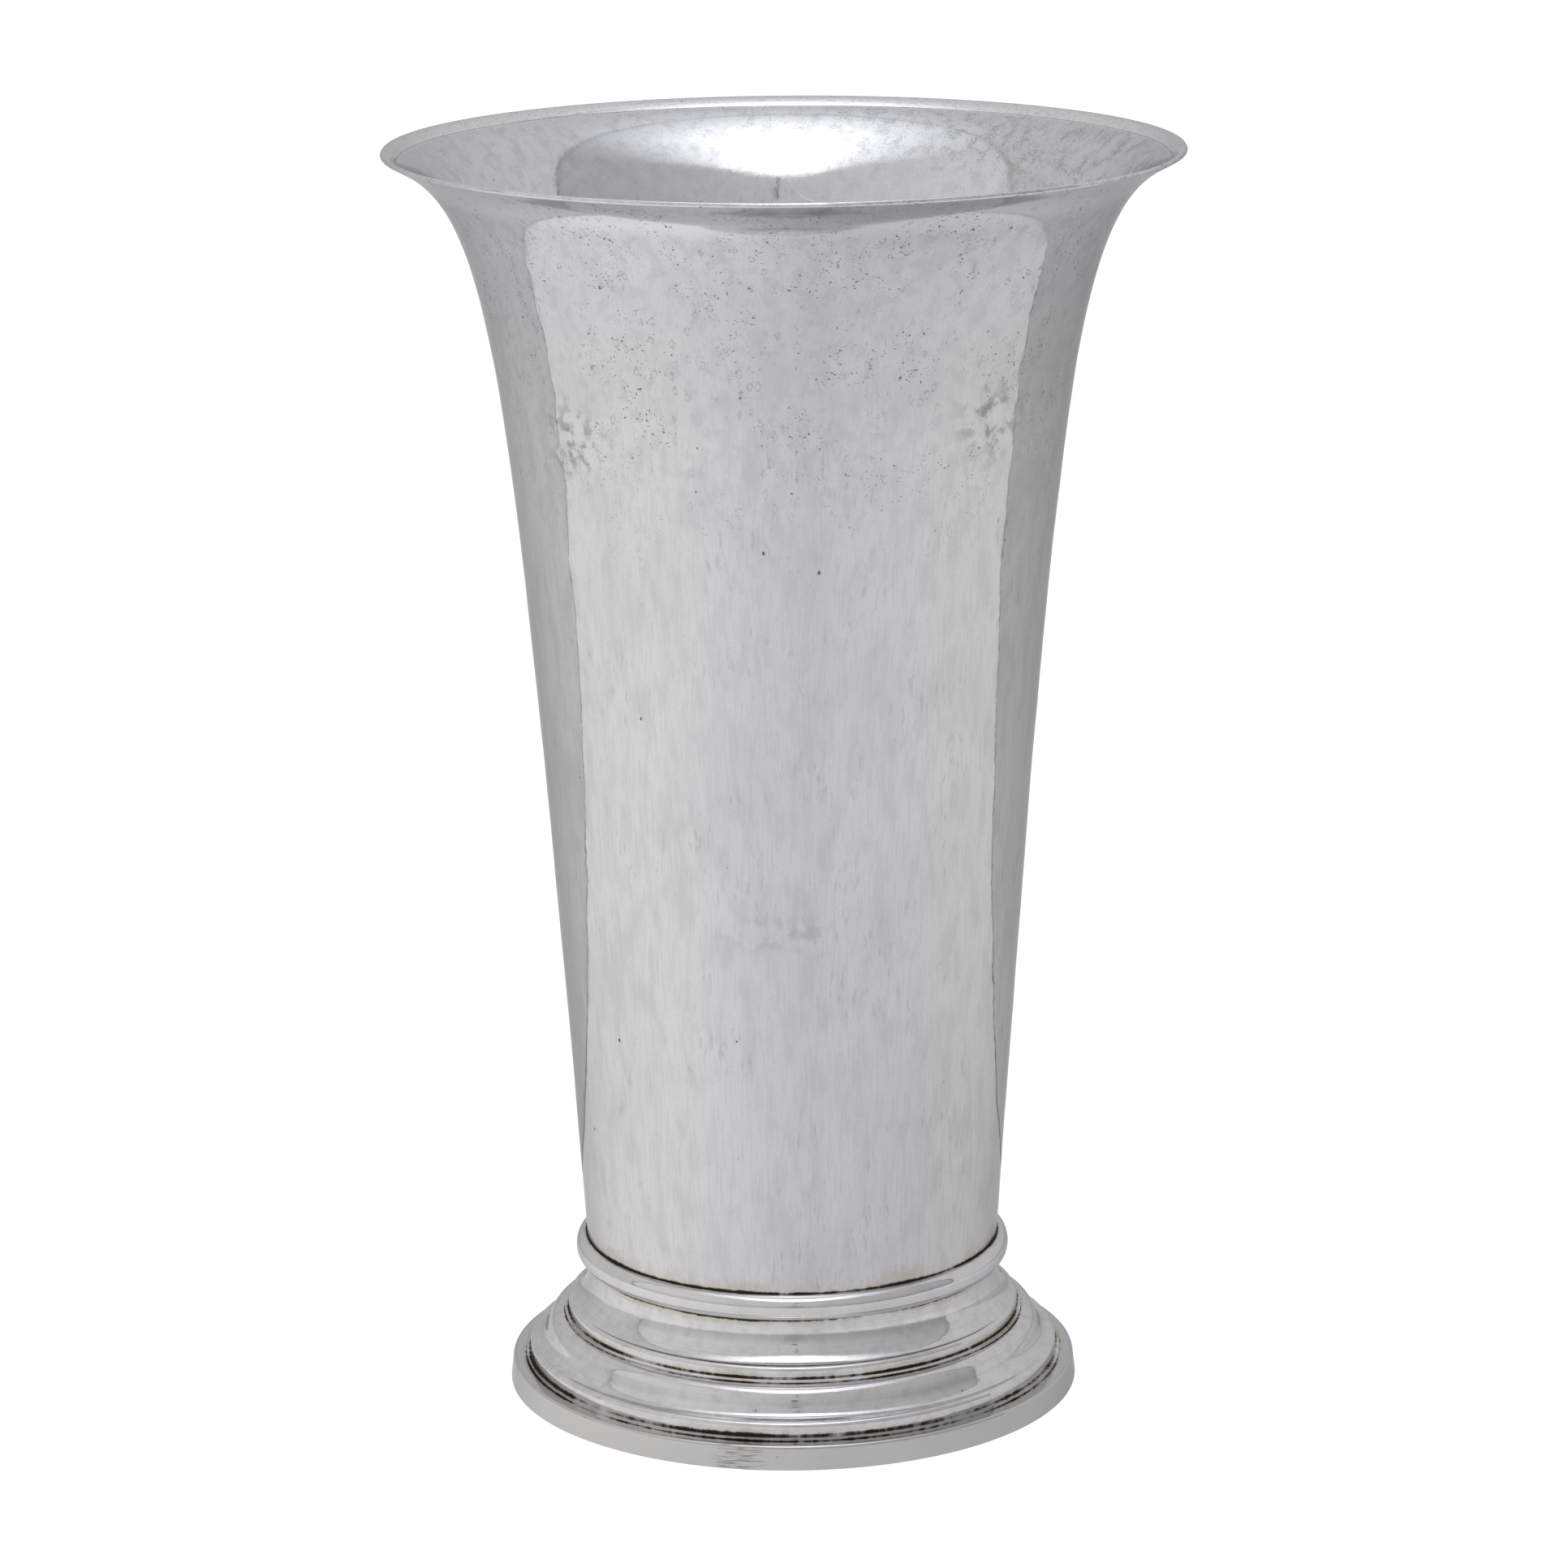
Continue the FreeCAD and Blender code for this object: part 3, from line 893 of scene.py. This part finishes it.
print("with pits, drops and dashes", len(tree.nodes), "nodes")

# %% Tarnish inside the mouth
fine_cloud = clouds(tree, place, (1.7, 1.7, 2.6), 8.0, moved=(4.0, 4.0, 4.0))
inner_cloud = weighed(tree, (fine_cloud, 0.55), (bloom, 0.45))
to_the_right = ramp(tree, right, -60.0, 70.0, 0.35, 1.0)
far_out = most(tree, ramp(tree, height, 284.0, 296.0),
               ramp(tree, maths(tree, "ABSOLUTE", right), 42.0, 68.0))
inner_stain = times(tree, ramp(tree, inner_cloud, 0.48, 0.62), to_the_right,
                    within, ramp(tree, far_out, 0.0, 1.0, 0.12, 1.0))
colour = film(tree, colour, inner_stain, 0.70, (0.46, 0.45, 0.44))
lower_in = times(tree, within, ramp(tree, height, 150.0, 270.0, 0.70, 0.0))
colour = tinted(tree, lower_in, colour, (0.52, 0.50, 0.47))
print("with the tarnish inside", len(tree.nodes), "nodes")

# %% Stains round the dents, and one wiped mark
bruises = [(-0.72, -0.69, 243.0), (0.69, -0.72, 248.0)]
for rightwards, backwards, tall in bruises:
    spot = (body_radius(tall) * rightwards, body_radius(tall) * backwards, tall)
    stain = ramp(tree, distance(tree, place, spot), 1.0, 13.0, 0.9, 0.0)
    colour = film(tree, colour, stain, ramp(tree, bloom, 0.46, 0.62), (0.34, 0.333, 0.325))
WIPED_HEIGHT = 128.0
wiped_from = distance(tree, place, (-3.0, -body_radius(WIPED_HEIGHT), WIPED_HEIGHT))
wiped = times(tree, hump(tree, height, WIPED_HEIGHT, 0.5, 6.0),
              ramp(tree, wiped_from, 3.0, 20.0, 1.0, 0.0))
colour = film(tree, colour, wiped, ramp(tree, bloom, 0.44, 0.64, 0.0, 0.6), (0.50, 0.50, 0.50))
print("with stains", len(tree.nodes), "nodes")

# %% Crust in the trumpet's corners, and painted shade at the lip wire's edge
CRUST_HEIGHT = RING_TOP - 0.05
foot_corner = (body_radius(CRUST_HEIGHT), CRUST_HEIGHT)
wire_corner = on_land(LAND_WIDTH, 0.0)
deep_corner = (body_radius(BODY_BOTTOM) - SHEET, BODY_BOTTOM)
spin = (radius, height, uneven(tree, place))
halo = most(tree, near_corner(tree, spin, foot_corner, 0.2, 1.7),
            near_corner(tree, spin, deep_corner, 1.0, 9.0))
# The crust below also holds a faint line along the lip wire's inner edge: painted shade in the gap
# under the wire's edge.
crust = most(tree, near_corner(tree, spin, foot_corner, 0.16, 0.60),
             times(tree, near_corner(tree, spin, wire_corner, 0.0, 0.10), 0.25),
             near_corner(tree, spin, deep_corner, 0.5, 3.0))
colour = tinted(tree, crust, film(tree, colour, halo, 0.55, HALO), CRUST)
print("with crust", len(tree.nodes), "nodes")

# %% Roughness and relief of the wall
scratches = most(
    tree,
    hairlines(tree, place, (0.030, 0.030, 0.010), 0.0006, turned_by=(0.5, 0.3, 0.0)),
    hairlines(tree, place, (0.045, 0.045, 0.006), 0.0007, moved=(3.0, 1.0, 0.0)),
)
here_and_there = clouds(tree, place, 0.06, 2.0, moved=(11.0, 2.0, 5.0))
scratched = times(tree, scratches, ramp(tree, here_and_there, 0.52, 0.58))
smeared = times(tree, ramp(tree, height, 272.0, 296.0), smears)
dull = weighed(
    tree,
    (ramp(tree, streaks, 0.42, 0.74), 0.055), (ramp(tree, patches, 0.48, 0.80), 0.05),
    (smeared, 0.10), (pitted, 0.30), (scratched, 0.22), (inner_stain, 0.12),
    (lower_in, 0.30), (most(tree, times(tree, halo, 0.3), crust), 0.45),
)
facets = bumps(tree, clouds(tree, place, 0.16, 2.0, moved=(2.0, 2.0, 2.0)), 0.000035)
fine = weighed(tree, (streaks, 0.5), (grain, 0.25), (most(tree, pitted, scratched), -3.0),
               (times(tree, mottle, within), 2.0))
finish_up(tree, metal, colour, dull, 0.035, bumps(tree, fine, 0.0000035, facets))
trumpet.data.materials.append(body_silver)

# %% [markdown]
# ### Silver of the wires
# The lip wire and the collar ring stand proud, so hands and cloths keep them bright. Their polish
# runs round the vase, in fine grooves, and dirt stays only where they meet the sheet. Along the lip
# wire's inner edge a faint dark line is painted shade in the gap under the wire's edge.

# %% Colour of the wires
wire_silver, tree, metal, place = start_finish("wire_silver")
radius, height, right = cylinder(tree, place)
mottle = clouds(tree, place, 0.20, 4.0)
grain = clouds(tree, place, 2.0, 3.0)
spin = (radius, height, uneven(tree, place))
grooves = clouds(tree, round_axis(tree, radius, height, right), (3.2, 3.2, 1.0), 3.0)
colour = tinted(tree, ramp(tree, right, -60.0, 60.0), (0.850, 0.838, 0.830), (0.822, 0.816, 0.836))
colour = film(tree, colour, ramp(tree, mottle, 0.45, 0.75), 0.35, HAZE)
colour = tinted(tree, ramp(tree, height, 200.0, 210.0, 0.0, 0.85), colour, (0.95, 0.945, 0.96))
speckles = ramp(tree, clouds(tree, place, (1.1, 1.1, 2.2), 8.0, moved=(4.0, 4.0, 4.0)), 0.50, 0.66)
mostly_lip = ramp(tree, height, 200.0, 210.0, 0.1, 0.40)
colour = film(tree, colour, speckles, mostly_lip, (0.50, 0.49, 0.48))
print("the wires' colour takes", len(tree.nodes), "nodes")


# %% Hairline of the joint
def along_way(tree, place, x, y):
    """Returns how far each point lies along a level direction."""
    settings = {"operation": "DOT_PRODUCT"}
    return node(tree, "ShaderNodeVectorMath", settings, i0=place, i1=(x, y, 0.0)).outputs["Value"]


beside = along_way(tree, place, math.sin(JOINT_ANGLE), -math.cos(JOINT_ANGLE))
ahead = along_way(tree, place, math.cos(JOINT_ANGLE), math.sin(JOINT_ANGLE))
joint = times(tree, hump(tree, beside, 0.0, 0.17, 0.06), ramp(tree, ahead, 80.0, 82.0))
colour = film(tree, colour, joint, 0.85, (0.12, 0.11, 0.11))
print("the hairline is drawn at", round(math.degrees(JOINT_ANGLE)), "degrees")

# %% Crust, painted shade, roughness and relief of the wires
over_ring = (body_radius(CRUST_HEIGHT) + SOLDER, CRUST_HEIGHT)
under_ring = (ring_low[0], RING_BOTTOM + 0.05)
# The crust below also holds a faint line along the lip wire's inner edge: painted shade in the gap
# under the wire's edge.
crust = most(tree, near_corner(tree, spin, over_ring, 0.08, 0.32),
             near_corner(tree, spin, under_ring, 0.10, 0.45),
             times(tree, near_corner(tree, spin, wire_corner, 0.0, 0.10), 0.25))
halo = most(tree, near_corner(tree, spin, over_ring, 0.1, 0.8),
            near_corner(tree, spin, under_ring, 0.3, 1.5))
specks = times(tree, pits(tree, place, 3.6, 0.30, 0.16), 0.6)
colour = tinted(tree, most(tree, crust, specks), film(tree, colour, halo, 0.5, HALO), CRUST)
dull = weighed(tree, (ramp(tree, grooves, 0.4, 0.75), 0.06),
               (ramp(tree, mottle, 0.5, 0.8), 0.06), (crust, 0.45))
skin = bumps(tree, plus(tree, grooves, times(tree, grain, 0.5)), 0.000003)
finish_up(tree, metal, colour, dull, 0.07, bumps(tree, mottle, 0.00003, skin))
for piece in (wire, ring):
    piece.data.materials.append(wire_silver)

# %% [markdown]
# ### Silver of the floor
# Water stood on the floor of the vase and was never polished off. So the disc is dull and grey,
# with darker tide marks, and crusted all round its edge.

# %% Floor finish
floor_silver, tree, metal, place = start_finish("floor_silver")
radius, height, right = cylinder(tree, place)
blots = clouds(tree, place, 0.09, 5.0)
spin = (radius, height, uneven(tree, place))
tides = hairlines(tree, place, (0.035, 0.035, 0.035), 0.02, moved=(5.0, 5.0, 0.0))
colour = tinted(tree, ramp(tree, blots, 0.35, 0.65), (0.52, 0.51, 0.49), (0.30, 0.28, 0.25))
colour = film(tree, colour, tides, 0.6, (0.18, 0.15, 0.10))
colour = tinted(tree, near_corner(tree, spin, deep_corner, 1.0, 6.0), colour, CRUST)
dull = ramp(tree, blots, 0.3, 0.7, 0.0, 0.27)
finish_up(tree, metal, colour, dull, 0.28, bumps(tree, blots, 0.00006))
disc.data.materials.append(floor_silver)

# %% [markdown]
# ### Silver of the stepped foot
# Both stages were spun, so their polish runs round the axis. They are warmer than the body, and
# the grooves under the collar ring and above both flanges hold black crust with a yellow halo.

# %% Colour of the foot
foot_silver, tree, metal, place = start_finish("foot_silver")
radius, height, right = cylinder(tree, place)
patches = clouds(tree, place, 0.06, 4.0)
mottle = clouds(tree, place, 0.35, 4.0, moved=(3.0, 8.0, 1.0))
grain = clouds(tree, place, 2.4, 3.0)
spin = (radius, height, uneven(tree, place))
grooves = clouds(tree, round_axis(tree, radius, height, right), (3.0, 3.0, 1.0), 3.0)
colour = tinted(tree, ramp(tree, right, -60.0, 60.0), (0.846, 0.835, 0.826), (0.848, 0.840, 0.846))
colour = film(tree, colour, ramp(tree, patches, 0.45, 0.7), 0.4, HAZE)
colour = film(tree, colour, ramp(tree, mottle, 0.42, 0.70), 0.55, HAZE)
colour = film(tree, colour, ramp(tree, grooves, 0.48, 0.66), 0.35, HAZE)
print("the foot's colour takes", len(tree.nodes), "nodes")

# %% Crust, roughness and relief of the foot
under_rim = (RIM + FLANGE, BAND_HEIGHT)
over_edge, over_rim = (EDGE, LEDGE_HEIGHT + FOOT_SHEET), (RIM, BAND_HEIGHT + FOOT_SHEET)
grubby = [  # a corner, and how close its crust is full and how far it fades
    ((NECK, RING_BOTTOM), 0.20, 0.60),
    (over_edge, 0.15, 0.50),
    ((SHOULDER, LEDGE_HEIGHT), 0.08, 0.30),
    (over_rim, 0.25, 0.75),
    (under_rim, 0.12, 0.40),
]
haloed = [(NECK, RING_BOTTOM), over_edge, over_rim]
crust = most(tree, *[near_corner(tree, spin, *corner) for corner in grubby])
halo = most(tree, *[near_corner(tree, spin, corner, 0.3, 1.7) for corner in haloed])
specks = times(tree, pits(tree, place, 4.5, 0.40, 0.16), 0.6)
colour = tinted(tree, most(tree, crust, specks), film(tree, colour, halo, 0.6, HALO), CRUST)
dull = weighed(tree, (ramp(tree, grooves, 0.4, 0.75), 0.05),
               (ramp(tree, mottle, 0.45, 0.8), 0.08), (crust, 0.5))
fine = weighed(tree, (grooves, 1.0), (grain, 0.5), (specks, -2.0))
skin = bumps(tree, fine, 0.000004, bumps(tree, mottle, 0.00003))
finish_up(tree, metal, colour, dull, 0.065, skin)
for piece in (upper_stage, lower_stage):
    piece.data.materials.append(foot_silver)

# %% [markdown]
# ### Silver of the band
# The band takes the knocks and the rubbing, so it is satin rather than bright, with a dark brushed
# smudge on the left of its front and scuffs that run along it.

# %% Band finish
SMUDGE_AT = -13.0
band_silver, tree, metal, place = start_finish("band_silver")
radius, height, right = cylinder(tree, place)
patches = clouds(tree, place, 0.07, 4.0, moved=(1.0, 4.0, 2.0))
scuffs = clouds(tree, place, (0.22, 0.22, 2.6), 4.0)
grain = clouds(tree, place, 2.4, 3.0)
spin = (radius, height, uneven(tree, place))
colour = tinted(tree, ramp(tree, right, -60.0, 60.0), (0.700, 0.690, 0.682), (0.672, 0.667, 0.674))
colour = film(tree, colour, ramp(tree, patches, 0.45, 0.7), 0.35, HAZE)
crust = near_corner(tree, spin, under_rim, 0.12, 0.45)
specks = times(tree, pits(tree, place, 4.0, 0.40, 0.2), 0.6)
smudge = times(tree, hump(tree, right, SMUDGE_AT, 2.0, 6.0), ramp(tree, scuffs, 0.44, 0.62))
colour = film(tree, colour, near_corner(tree, spin, under_rim, 0.3, 1.1), 0.7, HALO)
colour = film(tree, colour, smudge, 0.6, (0.30, 0.29, 0.265))
colour = tinted(tree, most(tree, crust, specks), colour, CRUST)
dull = weighed(tree, (ramp(tree, scuffs, 0.4, 0.75), 0.16), (most(tree, crust, smudge), 0.3))
fine = weighed(tree, (scuffs, 1.0), (grain, 0.3), (specks, -1.0))
finish_up(tree, metal, colour, dull, 0.075, bumps(tree, fine, 0.00001))
band.data.materials.append(band_silver)
